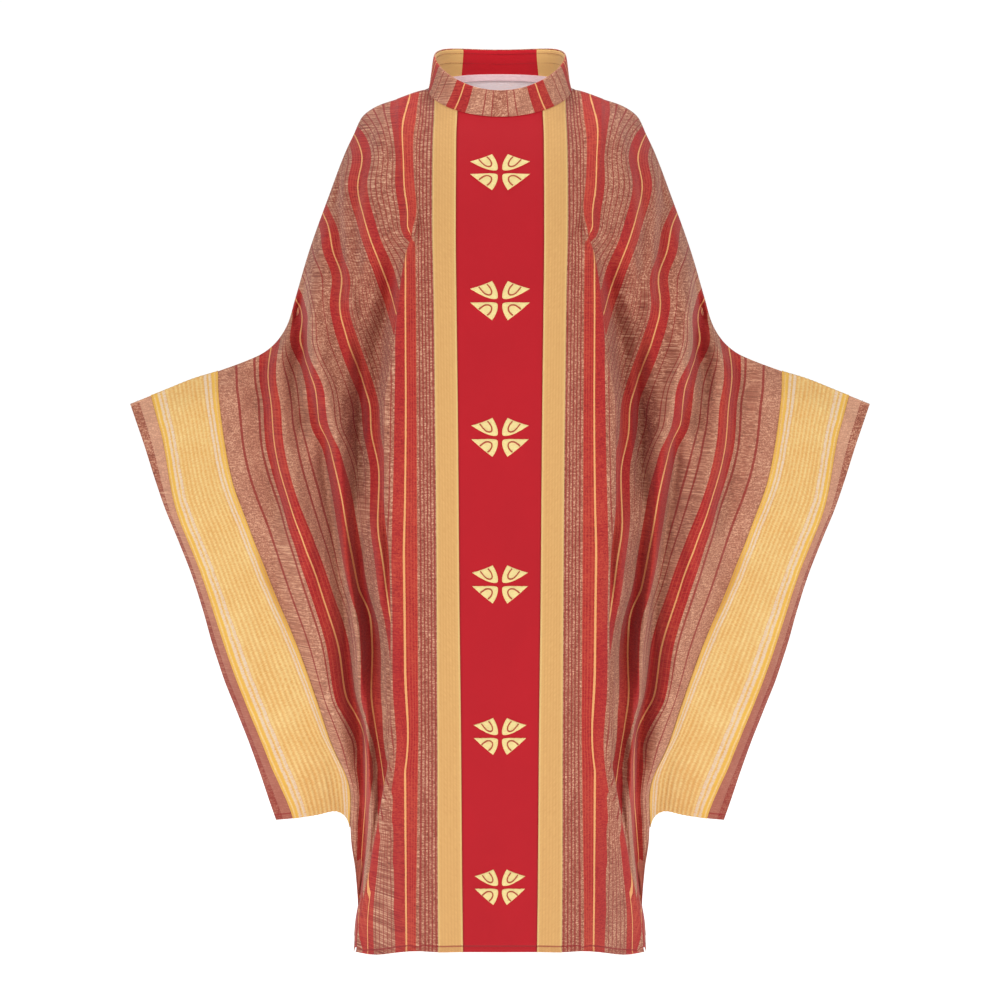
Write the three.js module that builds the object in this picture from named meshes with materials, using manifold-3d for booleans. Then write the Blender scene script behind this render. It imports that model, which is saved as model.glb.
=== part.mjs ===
// A chasuble: a wide pull-on vestment of striped cloth with a standing collar, modelled as it hangs on a wearer.
// Millimetres. X runs across the garment, the front faces -Y, +Z is up.
// The origin is the centre of the neck opening at the height of the shoulder line.

import * as THREE from 'three';
import { mergeVertices } from 'three/addons/utils/BufferGeometryUtils.js';
import Module from 'manifold-3d';

const wasm = await Module();
wasm.setup();

// Cloth layers: depths are counted outwards from the cloth's inner face.
const clothThickness = 1.2;
const trimThickness = 0.8;
const layerGap = 0.8;
const seamGap = 0.8; // between two panels that are sewn edge to edge

// Widths across the flat cloth, counted from the centre line.
const orphreyEdge = 65;
const borderEdge = 99;
const neckPoint = 108;
const sideSeam = 435;
const bandInner = 667;
const bandOuter = 774;
const sleeveEnd = 807;
const cuffFacingWidth = 14;
const hemFacingHeight = 12;

// Neck opening: the collar seam and the collar's rim are tilted ovals.
const neckSeam = { halfWidth: 103, middleY: -8.5, halfDepth: 96.5, level: -2, tilt: 37, rise: 9 };
const collarRim = { halfWidth: 97, middleY: -7.5, halfDepth: 92.5, level: 35.5, tilt: 37.5, rise: 25 };
const collarSteps = 32;

// Embroidered motifs: four petals round a centre, repeated down the middle of both orphreys.
const motifHalfWidth = 40;
const motifHalfHeight = 27;
const motifPlaces = [0.068, 0.215, 0.37, 0.545, 0.728, 0.916]; // as parts of the way from neck to hem
const motifRoom = 0.033; // half the height of the flat field under a motif, on the same scale

const colours = {
  melange: 0xb27864,
  red: 0xbe2432,
  gold: 0xe0b670,
  band: 0xf0c86e,
  embroidery: 0xf5dc8c,
  lining: 0xd7cddc,
  tape: 0x8a3a34,
  interfacing: 0xe8e4da,
};

// The neck seam seen from above: angle 0 is the middle of the front, 180 degrees the middle of the back.
function ringPoint(ring, angle, outward = 0) {
  return new THREE.Vector3(
    (ring.halfWidth + outward) * Math.sin(angle),
    ring.middleY - (ring.halfDepth + outward) * Math.cos(angle),
    ring.level - ring.tilt * Math.cos(angle) + ring.rise * Math.sin(angle) ** 2,
  );
}

function onNeck(width, face) {
  const angle = Math.asin(Math.min(1, width / neckPoint));
  return ringPoint(neckSeam, face === 'front' ? angle : Math.PI - angle);
}

// Stations across one half of the garment. Each warp line hangs from its top point to its foot;
// front and back say how far it swells out between the two.
const stations = [
  { at: 0, foot: [0, -166, -1250], front: 65, back: 42 },
  { at: 34, foot: [31, -165, -1250], front: 65, back: 42 },
  { at: orphreyEdge, foot: [58, -163, -1251], front: 67, back: 42 },
  { at: 84, foot: [77, -160, -1252], front: 73, back: 45 },
  { at: borderEdge, foot: [91, -157, -1254], front: 80, back: 48 },
  { at: neckPoint, foot: [103, -153, -1256], front: 110, back: 62 },
  { at: 162, top: [154, 7, -6], foot: [153, -135, -1264], front: 112, back: 72 },
  { at: 254, top: [221, 6, -66], foot: [206, -85, -1284], front: 112, back: 80 },
  { at: 345, top: [254, 0, -148], foot: [224, -35, -1300], front: 112, back: 82 },
  { at: sideSeam, top: [285, -4, -233], foot: [225, -3, -1307], front: 110, back: 84 },
  { at: 540, top: [313, -10, -333], foot: [219, -3, -1237], front: 100, back: 80 },
  { at: 605, top: [357, -12, -381], foot: [222, -4, -1180], front: 82, back: 70 },
  { at: bandInner, top: [415, -18, -405], foot: [229, -5, -1121], front: 62, back: 62 },
  { at: 720, top: [466, -22, -422], foot: [256, -8, -1080], front: 48, back: 56 },
  { at: bandOuter, top: [518, -26, -443], foot: [313, -13, -1090], front: 40, back: 50 },
  { at: sleeveEnd, top: [550, -30, -455], foot: [343, -15, -1094], front: 36, back: 48 },
];

// Rows from the top edge (0) to the foot (1): one flat field for every motif.
const rowParts = [0, ...motifPlaces.flatMap((place) => [place - motifRoom, place + motifRoom]), 1];

// How far a warp line has swelled out at a part of its way down.
function swell(part) {
  return Math.sin(Math.PI * part ** 0.75) ** 0.8;
}

// Below the side seam and along the sleeve, front and back end on one line; the back hem hangs nearer the legs.
function footOf(face, station) {
  const [x, y, z] = station.foot;
  return new THREE.Vector3(x, face === 'front' || station.at >= sideSeam ? y : -0.78 * y, z);
}

// A point of the cloth's inner face at a station, on one of the rows.
function rowPoint(face, station, part) {
  const top = station.top ? new THREE.Vector3(...station.top) : onNeck(station.at, face);
  const point = top.lerp(footOf(face, station), part);
  const depth = station[face] * Math.max(0, swell(Math.min(part, 1)));
  point.y += (face === 'front' ? -1 : 1) * (depth + seamGap / 2);
  return point;
}

// Same, at any part of the way down: straight between two rows.
function warpPoint(face, station, part) {
  const next = Math.max(1, rowParts.findIndex((row) => row >= part));
  const [above, below] = [rowParts[next - 1], rowParts[next]];
  const share = (part - above) / (below - above);
  return rowPoint(face, station, above).lerp(rowPoint(face, station, below), share);
}

// Same, at any width too: straight between two stations.
function clothPoint(face, width, part) {
  const away = Math.abs(width);
  const next = Math.max(1, stations.findIndex((station) => station.at >= away));
  const a = stations[next - 1];
  const b = stations[next];
  const share = (away - a.at) / (b.at - a.at);
  const point = warpPoint(face, a, part).lerp(warpPoint(face, b, part), share);
  if (width < 0) point.x *= -1;
  return point;
}

// Faces of a closed body from rings of points: each ring is a closed section, all with the same count.
// After the first half of a section the four-sided faces are cut along their other diagonal, and turned says
// where that is the other way round, so that both faces of a sheet, and sheets laid on it, share their facets.
function bodyFromSections(sections, closed, turned = []) {
  const count = sections[0].length;
  const positions = sections.flat().flatMap((point) => [point.x, point.y, point.z]);
  const faces = [];
  const quad = (a, b, c, d) => faces.push(a, b, c, a, c, d);
  const last = closed ? sections.length : sections.length - 1;
  for (let i = 0; i < last; i += 1) {
    const next = (i + 1) % sections.length;
    for (let j = 0; j < count; j += 1) {
      const k = (j + 1) % count;
      const [a, b, c, d] = [i * count + j, i * count + k, next * count + k, next * count + j];
      if (j < count / 2 - 1 !== Boolean(turned[i])) quad(a, b, c, d);
      else quad(b, c, d, a);
    }
  }
  return { positions, faces, quad };
}

function toGeometry(positions, faces) {
  const geometry = new THREE.BufferGeometry();
  geometry.setAttribute('position', new THREE.Float32BufferAttribute(positions, 3));
  geometry.setIndex(signedVolume(positions, faces) < 0 ? faces.slice().reverse() : faces);
  geometry.computeVertexNormals();
  return geometry;
}

function signedVolume(positions, faces) {
  let volume = 0;
  const corner = (index) => new THREE.Vector3().fromArray(positions, 3 * index);
  for (let i = 0; i < faces.length; i += 3) {
    const [a, b, c] = [corner(faces[i]), corner(faces[i + 1]), corner(faces[i + 2])];
    volume += a.dot(b.cross(c)) / 6;
  }
  return volume;
}

// A sheet of cloth as a closed solid: its section at each width is one long loop, down the inner face
// and up the outer one, and the first and last sections are capped.
function sheetSolid(face, widths, parts, from, to) {
  const outward = face === 'front' ? -1 : 1;
  const rows = parts.length;
  const sections = widths.map((width) => {
    const inner = parts.map((part) => clothPoint(face, width, part));
    const halfSeam = width === 0 && widths.every((w) => w >= 0) ? seamGap / 2 : 0;
    const otherHalf = width === 0 && widths.every((w) => w <= 0) ? -seamGap / 2 : 0;
    const shifted = (depth) => (point) => new THREE.Vector3(
      point.x + halfSeam + otherHalf, point.y + outward * depth, point.z,
    );
    return [...inner.map(shifted(from)), ...inner.map(shifted(to)).reverse()];
  });
  const inwards = widths.slice(1).map((width, index) => Math.abs(width) < Math.abs(widths[index]));
  const { positions, faces, quad } = bodyFromSections(sections, false, inwards);
  const lastStart = (sections.length - 1) * 2 * rows;
  for (let j = 0; j < rows - 1; j += 1) {
    const opposite = 2 * rows - 1 - j;
    quad(j, opposite, opposite - 1, j + 1);
    quad(lastStart + j, lastStart + j + 1, lastStart + opposite - 1, lastStart + opposite);
  }
  return toGeometry(positions, faces);
}

// A band round the neck between two levels (0 at the seam, 1 at the rim), from one depth to another.
function neckBand(lowLevel, highLevel, inside, outside) {
  const sections = [];
  const at = (angle, level, outward) => ringPoint(neckSeam, angle, outward)
    .lerp(ringPoint(collarRim, angle, outward), level);
  for (let i = 0; i < collarSteps; i += 1) {
    const angle = (2 * Math.PI * i) / collarSteps;
    sections.push([
      at(angle, lowLevel, inside), at(angle, lowLevel, outside),
      at(angle, highLevel, outside), at(angle, highLevel, inside),
    ]);
  }
  const { positions, faces } = bodyFromSections(sections, true);
  return toGeometry(positions, faces);
}

function toManifold(geometry) {
  const bare = geometry.clone();
  bare.deleteAttribute('normal');
  bare.deleteAttribute('uv');
  const merged = mergeVertices(bare, 1e-4);
  return new wasm.Manifold(new wasm.Mesh({
    numProp: 3,
    vertProperties: Float32Array.from(merged.attributes.position.array),
    triVerts: Uint32Array.from(merged.index.array),
  }));
}

function fromManifold(solid) {
  const mesh = solid.getMesh();
  return toGeometry(Array.from(mesh.vertProperties), Array.from(mesh.triVerts));
}

// One petal in the upper right quarter: a straight long edge, a blunt rounded end near the centre.
function petalShape() {
  const shape = new THREE.Shape();
  shape.moveTo(motifHalfWidth, 0.3 * motifHalfHeight);
  shape.lineTo(0.27 * motifHalfWidth, motifHalfHeight);
  shape.quadraticCurveTo(3, 0.55 * motifHalfHeight, 3, 6.5);
  shape.quadraticCurveTo(3.5, 1.8, 9, 1.9);
  shape.quadraticCurveTo(0.55 * motifHalfWidth, 2.5, motifHalfWidth, 0.3 * motifHalfHeight);
  return shape;
}

// The four petals stand on one thin backing, so that the motif is a single piece.
function motifSolid() {
  const backing = new THREE.BoxGeometry(1.3 * motifHalfWidth, 0.9 * motifHalfHeight, 0.4);
  backing.translate(0, 0, 0.2);
  let solid = toManifold(backing);
  for (const [sideX, sideY] of [[1, 1], [-1, 1], [-1, -1], [1, -1]]) {
    const petal = new THREE.ExtrudeGeometry(petalShape(), { depth: 0.9, bevelEnabled: false, curveSegments: 3 });
    const turned = toManifold(petal).scale([sideX, sideY, 1]);
    solid = solid.add(turned);
  }
  return solid;
}

// The motif laid on the orphrey's flat field at one of its places.
function placedMotif(motif, face, place) {
  const low = clothPoint(face, 0, place + motifRoom);
  const high = clothPoint(face, 0, place - motifRoom);
  const up = high.clone().sub(low).normalize();
  const across = new THREE.Vector3(face === 'front' ? 1 : -1, 0, 0);
  const out = across.clone().cross(up);
  const lift = clothThickness + trimThickness + 2 * layerGap;
  const middle = low.add(high).multiplyScalar(0.5).addScaledVector(out, lift);
  const frame = new THREE.Matrix4().makeBasis(across, up, out).setPosition(middle);
  return fromManifold(motif.transform(frame.elements));
}

const chasuble = new THREE.Group();

function addPiece(name, geometry, colour, roughness = 0.85) {
  const material = new THREE.MeshStandardMaterial({ color: colour, roughness, metalness: 0 });
  const mesh = new THREE.Mesh(geometry, material);
  mesh.name = name;
  chasuble.add(mesh);
}

const trimFrom = clothThickness + layerGap;
const trimTo = trimFrom + trimThickness;
const widthsBetween = (low, high) => stations.map((station) => station.at)
  .filter((at) => at >= low && at <= high);
const bothSides = (edge) => [...widthsBetween(1, edge).map((width) => -width).reverse(), ...widthsBetween(0, edge)];
const partsBetween = (low, high) => [low, ...rowParts.filter((part) => part > low && part < high), high];

for (const face of ['front', 'back']) {
  for (const [side, sign] of [['left', -1], ['right', 1]]) {
    const signed = (widths) => widths.map((width) => sign * width);
    addPiece(`${face}_panel_${side}`,
      sheetSolid(face, signed(widthsBetween(0, sleeveEnd)), rowParts, 0, clothThickness), colours.melange);
    addPiece(`${face}_border_${side}`,
      sheetSolid(face, signed([orphreyEdge + 0.4, 84, borderEdge]), rowParts, trimFrom, trimTo), colours.gold);
    addPiece(`${face}_sleeve_band_${side}`,
      sheetSolid(face, signed([bandInner, 720, bandOuter]), rowParts, trimFrom, trimTo), colours.band);
    addPiece(`${face}_cuff_facing_${side}`,
      sheetSolid(face, signed([sleeveEnd - cuffFacingWidth, sleeveEnd - 1]), partsBetween(0.07, 0.93),
        -layerGap - trimThickness, -layerGap), colours.tape);
    addPiece(`${face}_hem_facing_${side}`,
      sheetSolid(face, signed([4, ...widthsBetween(10, 260)]), [1 - hemFacingHeight / 1210, 0.9995],
        -layerGap - trimThickness, -layerGap), colours.tape);
  }
  addPiece(`${face}_orphrey`,
    sheetSolid(face, bothSides(orphreyEdge), rowParts, trimFrom, trimTo), colours.red, 0.7);
  addPiece(`${face}_yoke_lining`,
    sheetSolid(face, bothSides(162), [0.035, 0.07, rowParts[2]],
      -layerGap - trimThickness, -layerGap), colours.lining, 0.6);
}

addPiece('collar_outer', neckBand(0.06, 1, 0, 1), colours.melange);
addPiece('collar_interfacing', neckBand(0.06, 0.97, -1.6, -0.5), colours.interfacing);
addPiece('collar_facing', neckBand(0.06, 1, -3, -2.1), colours.red, 0.7);
addPiece('neck_tape', neckBand(-0.18, 0, -5.6, -4.6), colours.tape);

const motif = motifSolid();
for (const face of ['front', 'back']) {
  motifPlaces.forEach((place, index) => {
    addPiece(`${face}_motif_${index + 1}`, placedMotif(motif, face, place), colours.embroidery, 0.45);
  });
}

export default chasuble;
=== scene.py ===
import math

import bpy
import numpy as np
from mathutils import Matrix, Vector


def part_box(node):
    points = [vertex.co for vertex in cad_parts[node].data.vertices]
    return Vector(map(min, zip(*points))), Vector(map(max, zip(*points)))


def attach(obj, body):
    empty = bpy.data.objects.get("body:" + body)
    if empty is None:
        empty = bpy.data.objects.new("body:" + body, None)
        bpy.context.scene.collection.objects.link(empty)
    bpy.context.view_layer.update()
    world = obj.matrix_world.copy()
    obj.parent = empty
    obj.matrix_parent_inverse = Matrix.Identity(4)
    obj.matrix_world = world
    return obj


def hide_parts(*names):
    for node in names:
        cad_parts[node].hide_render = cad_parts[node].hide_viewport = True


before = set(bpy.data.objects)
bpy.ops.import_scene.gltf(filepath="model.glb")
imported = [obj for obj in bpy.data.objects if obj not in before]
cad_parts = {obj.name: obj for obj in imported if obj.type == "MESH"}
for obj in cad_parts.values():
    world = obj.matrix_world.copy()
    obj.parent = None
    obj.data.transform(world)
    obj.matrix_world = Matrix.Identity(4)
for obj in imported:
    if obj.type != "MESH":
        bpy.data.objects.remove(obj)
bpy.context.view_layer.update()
mm = 0.001  # every length below is in millimetres until it goes into a mesh

# the cut of the garment
# One half, counted outwards from the centre line across the flat cloth.
cut = {
    "orphreyEdge": 65, "borderEdge": 99, "innerEdge": 130, "bandInner": 667, "bandOuter": 774,
    "sleeveEnd": 807, "hemTurn": 12, "panelArea": 0.735,  # square metres in one quarter panel
}

# Red stripes: (middle, half width) across the flat cloth; a gold line runs down the middle of each.
redStripes = {
    "first": (149, 17), "second": (236, 18), "third": (361, 18), "fourth": (498, 18), "fifth": (593, 18),
}

# Where each line of the cloth hangs, as (out from the centre, height) down the front.
hang = {
    "second": [(330, 20), (213, -62), (200, -97), (207, -133), (191, -195), (171, -249), (149, -314),
               (118, -400), (90, -600), (80, -1300)],
    "third": [(440, 20), (330, -80), (262, -175), (251, -196), (244, -230), (228, -270), (232, -305),
              (220, -358), (203, -412), (189, -459), (188, -487), (175, -550), (177, -618), (170, -672),
              (160, -754), (140, -850), (120, -1300)],
    "fourth": [(560, 20), (400, -175), (302, -304), (293, -325), (297, -357), (268, -428), (264, -478),
               (247, -512), (233, -570), (220, -655), (207, -727), (192, -768), (189, -821), (190, -874),
               (185, -922), (172, -1007), (165, -1100), (160, -1300)],
    "fifth": [(660, 20), (420, -270), (340, -346), (343, -407), (334, -460), (330, -510), (323, -545),
              (309, -588), (285, -654), (263, -727), (240, -812), (230, -886), (209, -936), (199, -971),
              (202, -1028), (210, -1114), (215, -1179), (219, -1300)],
    "band": [(760, 20), (520, -300), (420, -407), (415, -446), (395, -561), (372, -627), (344, -708),
             (297, -824), (254, -957), (226, -1046), (230, -1108), (232, -1300)],
}

# The edge of the front column, where the cloth folds back under itself:
# (out, depth, height, place on the cloth).
foldEdge = [
    (142, 0, 0, 158), (138, -80, -57, 146), (130, -130, -130, 141), (123, -152, -178, 137),
    (126, -162, -204, 134), (134, -168, -232, 149), (145, -180, -300, 162), (153, -185, -373, 171),
    (165, -188, -450, 183), (166, -190, -580, 180), (159, -190, -680, 170), (158, -186, -833, 170),
    (162, -172, -948, 180), (179, -145, -1050, 217), (199, -98, -1162, 237), (217, -62, -1245, 254),
    (221, -50, -1292, 262),
]
# How far the cloth runs back under that edge, and how deep behind it the sleeve cloth lies, by height.
foldBack = [(-150, 0), (-195, 2), (-235, 22), (-300, 38), (-450, 62), (-700, 75), (-1000, 85), (-1120, 75),
            (-1291, 50)]
foldGap = [(-150, 0), (-195, 2), (-235, 20), (-300, 40), (-450, 55), (-600, 56), (-800, 52), (-1000, 48),
           (-1120, 42), (-1291, 26)]

# Other columns of the front and the back, as (out, depth, height).
frontColumns = {
    "centre": [(0, -105, -39), (0, -142, -120), (0, -168, -200), (0, -186, -300), (0, -199, -491),
               (0, -199, -700), (0, -190, -922), (0, -174, -1150), (0, -166, -1250)],
    "orphreyEdge": [(62, -88, -29), (62, -136, -115), (62, -165, -200), (61, -184, -300), (59, -197, -491),
                    (58, -197, -700), (56, -188, -922), (55, -171, -1150), (54, -163, -1251)],
    "borderEdge": [(95, -46, -12), (96, -112, -90), (95, -156, -200), (93, -178, -300), (91, -194, -491),
                   (90, -194, -700), (90, -185, -922), (91, -166, -1150), (91, -156, -1254)],
    "innerEdge": [(110, -8, 6), (123, -88, -72), (119, -148, -180), (117, -171, -300), (115, -190, -491),
                  (115, -190, -700), (115, -180, -922), (117, -160, -1150), (118, -146, -1256)],
}
backColumns = {
    "centre": [(0, 88, 35), (0, 112, -50), (0, 126, -150), (0, 136, -300), (0, 139, -500), (0, 138, -700),
               (0, 133, -922), (0, 125, -1150), (0, 120, -1250)],
    "orphreyEdge": [(62, 74, 29), (62, 106, -55), (62, 123, -150), (61, 134, -300), (59, 138, -500),
                    (58, 137, -700), (56, 132, -922), (55, 123, -1150), (54, 118, -1251)],
    "borderEdge": [(95, 34, 19), (96, 88, -50), (95, 116, -150), (94, 130, -300), (93, 135, -500),
                   (92, 135, -700), (91, 130, -922), (91, 120, -1150), (91, 114, -1254)],
    "innerEdge": [(110, -2, 7), (123, 68, -60), (120, 108, -170), (121, 125, -300), (121, 132, -500),
                  (121, 132, -700), (121, 127, -922), (121, 116, -1150), (121, 108, -1262)],
}

# Outline of the sleeve half: the arm line, the seam under it, and the two sides of the sleeve band.
armLine = [(142, 0, 0), (154, 7, -6.8), (180, 9, -15.3), (204, 10, -31.6), (217, 8, -58), (228, 5, -81),
           (254, 0, -148), (285, -4, -233), (305, -8, -300), (316, -10, -336), (332, -11, -362),
           (353, -12, -380), (379, -14, -392), (420, -18, -407)]
armEnd = [(420, -18, -407), (454, -20, -417), (500, -25, -435), (550, -30, -455)]
sideLine = [(221, -30, -1293), (225, 0, -1307), (218, 0, -1237), (222, -3, -1180), (229, -5, -1128),
            (230, -5, -1108)]
underSleeve = [(230, -5, -1108), (233, -6, -1096), (240, -7, -1086), (252, -9, -1081), (275, -10, -1086),
               (320, -13, -1092), (343, -15, -1094)]
bandEdge = [(420, -18, -407), (415, -50, -446), (395, -75, -561), (372, -80, -627), (344, -80, -708),
            (297, -75, -824), (254, -60, -957), (226, -30, -1046), (230, -5, -1108)]
sleeveMouth = [(550, -30, -455), (532, -48, -500), (498, -62, -602), (456, -64, -712), (420, -58, -845),
               (376, -38, -978), (343, -15, -1094)]

# The neck seam and the collar's rim: rings that tilt down to the front and rise at the sides.
neckSeam = {"halfWidth": 103, "middle": -8.5, "halfDepth": 96.5, "level": -2, "tilt": 37, "rise": 9}
collarRim = {"halfWidth": 97, "middle": -7.5, "halfDepth": 92.5, "level": 36, "tilt": 38, "rise": 20}
collarCut = {"centreOn": 429, "foldAt": 170, "redHalf": 63, "lean": 0.22, "rows": (7.5, 22)}


# curves and grids
def smoothAt(keys, values, at):
    # a smooth curve through the values that never swings past them
    keys, values, at = np.asarray(keys, float), np.asarray(values, float), np.asarray(at, float)
    step = np.diff(keys)
    slope = np.diff(values) / step
    tangent = np.zeros(len(keys))
    tangent[0], tangent[-1] = slope[0], slope[-1]
    same = slope[1:] * slope[:-1] > 0
    weightA, weightB = 2 * step[1:] + step[:-1], step[1:] + 2 * step[:-1]
    with np.errstate(divide="ignore", invalid="ignore"):
        mean = (weightA + weightB) / (weightA / slope[:-1] + weightB / slope[1:])
    tangent[1:-1] = np.where(same, mean, 0)
    spot = np.clip(np.searchsorted(keys, at) - 1, 0, len(keys) - 2)
    part = np.clip((at - keys[spot]) / step[spot], 0, 1)
    a, b = values[spot], values[spot + 1]
    ta, tb = tangent[spot] * step[spot], tangent[spot + 1] * step[spot]
    return (a * (1 + 2 * part) * (1 - part) ** 2 + ta * part * (1 - part) ** 2
            + b * part ** 2 * (3 - 2 * part) + tb * part ** 2 * (part - 1))


def byHeight(pairs, height):
    # pairs of (height, value) with the height going down
    keys = [-pair[0] for pair in pairs]
    return smoothAt(keys, [pair[1] for pair in pairs], -np.asarray(height))


def downLine(path, height):
    # how far out a path of (out, height) lies at a height
    return byHeight([(point[1], point[0]) for point in path], height)


def lineThrough(points, parts):
    # points along a curve, placed by the part of its length
    points = np.asarray(points, float)
    steps = np.linalg.norm(np.diff(points[:, :3], axis=0), axis=1)
    keys = np.concatenate([[0], np.cumsum(steps)]) / steps.sum()
    return np.stack([smoothAt(keys, points[:, k], parts) for k in range(points.shape[1])], axis=-1)


def acrossColumns(columns, counts):
    # columns: rows x columns x (out, depth, height, place). Fills each gap with counts steps of a smooth
    # curve, which is level at the first column because the other half mirrors it.
    start = columns[:, 1:2] * np.array([-1, 1, 1, -1.0])
    end = 2 * columns[:, -1:] - columns[:, -2:-1]
    full = np.concatenate([start, columns, end], axis=1)
    gap = np.linalg.norm(np.diff(full[..., :3], axis=1), axis=2)[..., None] + 1e-6
    slope = np.diff(full, axis=1) / gap
    tangent = (slope[:, 1:] * gap[:, :-1] + slope[:, :-1] * gap[:, 1:]) / (gap[:, 1:] + gap[:, :-1])
    filled = []
    for k, count in enumerate(counts):
        a, b, length = columns[:, k], columns[:, k + 1], gap[:, k + 1]
        for part in np.linspace(0, 1, count, endpoint=False):
            bend = tangent[:, k] * part * (1 - part) ** 2 + tangent[:, k + 1] * part ** 2 * (part - 1)
            straight = a * (1 + 2 * part) * (1 - part) ** 2 + b * part ** 2 * (3 - 2 * part)
            filled.append(straight + length * bend)
    filled.append(columns[:, -1])
    return np.stack(filled, axis=1)


def patchBetween(left, right, top, bottom, acrossParts, downParts):
    # a sheet spanned between four edges; left and right are given at downParts
    across = np.asarray(acrossParts)[None, :, None]
    down = np.asarray(downParts)[:, None, None]
    topLine, bottomLine = lineThrough(top, acrossParts)[None], lineThrough(bottom, acrossParts)[None]
    sheet = (1 - across) * left[:, None] + across * right[:, None]
    sheet = sheet + (1 - down) * (topLine - (1 - across) * topLine[:, :1] - across * topLine[:, -1:])
    return sheet + down * (bottomLine - (1 - across) * bottomLine[:, :1] - across * bottomLine[:, -1:])


def ringPoint(ring, turn):
    # turn 0 is the front, a quarter is the wearer's side
    return np.stack([ring["halfWidth"] * np.sin(turn), ring["middle"] - ring["halfDepth"] * np.cos(turn),
                     ring["level"] - ring["tilt"] * np.cos(turn) + ring["rise"] * np.sin(turn) ** 2], axis=-1)


def easeIn(value, low, high):
    # rises softly from 0 at low to 1 at high
    part = np.clip((np.asarray(value) - low) / (high - low), 0, 1)
    return part * part * (3 - 2 * part)


def ripple(u, v, sizeU, sizeV, seed):
    # smooth seeded unevenness between -1 and 1, with cells of sizeU by sizeV
    cells, shift = 96, 500  # the shift keeps every place positive
    table = np.random.default_rng(seed).uniform(-1, 1, (cells, cells))
    a, b = u / sizeU + shift, v / sizeV + shift
    i, j = np.floor(a).astype(int), np.floor(b).astype(int)
    partA, partB = easeIn(a - i, 0, 1), easeIn(b - j, 0, 1)

    def alongA(row):
        return table[i % cells, row] * (1 - partA) + table[(i + 1) % cells, row] * partA
    return alongA(j % cells) * (1 - partB) + alongA((j + 1) % cells) * partB


# how the cloth hangs
drape = {
    "rowParts": np.concatenate([np.linspace(0, 0.03, 10)[:-1], np.linspace(0.03, 0.988, 190)[:-1],
                                np.linspace(0.988, 1, 9)]),
    "columnsOfSide": 84,
    "stripeShown": 15.5,   # how much of each side of a stripe shows where the cloth is drawn together
    # towards the hem the first stripe lies open beside the fold: from nothing to all of it between two heights
    "firstStripe": {"outerEdge": 159, "place": 167, "from": 860, "to": 980},
    "shoulderFall": 1.18,  # how much lower each line round the fold starts at the shoulder
    "backDepth": 0.72,     # the back hangs this much as deep as the front
    "rippleHeight": 1.5,   # height of the uneven surface
    "foldDepth": 1.3,      # all soft folds are this much deeper than listed
    "evenBack": 60, "evenFront": 2,  # rounds that even out where the stripes lie
    "bandOut": 0.11, "bandForward": 15,  # the band comes out and forward where the sleeve end turns away
    "stitchPull": 0.5,     # how far a hem is drawn in along its stitches
}

# Soft folds of the sleeve cloth: reach inwards and outwards, height (minus is a hollow), the length over
# which each end fades out, and the path as (out, height).
softFolds = [
    ((18, 16), -34, 90, [(152, -290), (176, -370), (180, -470), (174, -560)]),
    ((7, 26), -13, 50, [(188, -60), (200, -120), (208, -190), (204, -260)]),
    ((6, 22), -20, 60, [(238, -150), (231, -235), (222, -300), (205, -390), (200, -460)]),
    ((13, 14), 17, 90, [(222, -290), (206, -400), (192, -470), (174, -600), (167, -700)]),
    ((14, 12), -24, 110, [(203, -400), (207, -520), (214, -600), (206, -700), (186, -800)]),
    ((13, 18), 16, 80, [(268, -330), (252, -430), (234, -520), (218, -600)]),
    ((6, 18), -15, 40, [(289, -270), (285, -340), (280, -420), (272, -470)]),
    ((10, 15), -24, 45, [(300, -320), (294, -365), (302, -420), (292, -480)]),
    ((14, 20), 15, 80, [(330, -375), (320, -450), (302, -560), (277, -650)]),
    ((12, 13), -22, 110, [(258, -540), (243, -650), (230, -740), (226, -840), (213, -930)]),
    ((12, 22), -18, 60, [(356, -385), (352, -450), (344, -520), (326, -600)]),
    ((12, 13), 15, 110, [(224, -690), (208, -800), (202, -900), (192, -1000)]),
    ((22, 26), 13, 140, [(300, -640), (275, -760), (252, -880), (228, -980)]),
    ((9, 8), -14, 80, [(205, -950), (205, -1040), (208, -1130), (214, -1210)]),
    ((8, 9), 12, 80, [(196, -960), (192, -1040), (196, -1120), (208, -1200)]),
    ((8, 10), -12, 25, [(376, -398), (372, -420), (360, -450)]),
    ((16, 18), -8, 90, [(342, -700), (322, -780), (296, -870), (262, -980)]),
]


def foldRelief(out, height):
    total = np.zeros_like(out)
    for (inwards, outwards), rise, fade, path in softFolds:
        away = out - downLine(path, height)
        reach = np.where(away < 0, inwards, outwards)
        top, bottom = -path[0][1], -path[-1][1]
        ends = easeIn(-height, top - fade, top + 5) * (1 - easeIn(-height, bottom - 5, bottom + fade))
        total += rise * np.exp(-(away / reach) ** 2) * ends
    return drape["foldDepth"] * total


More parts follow.
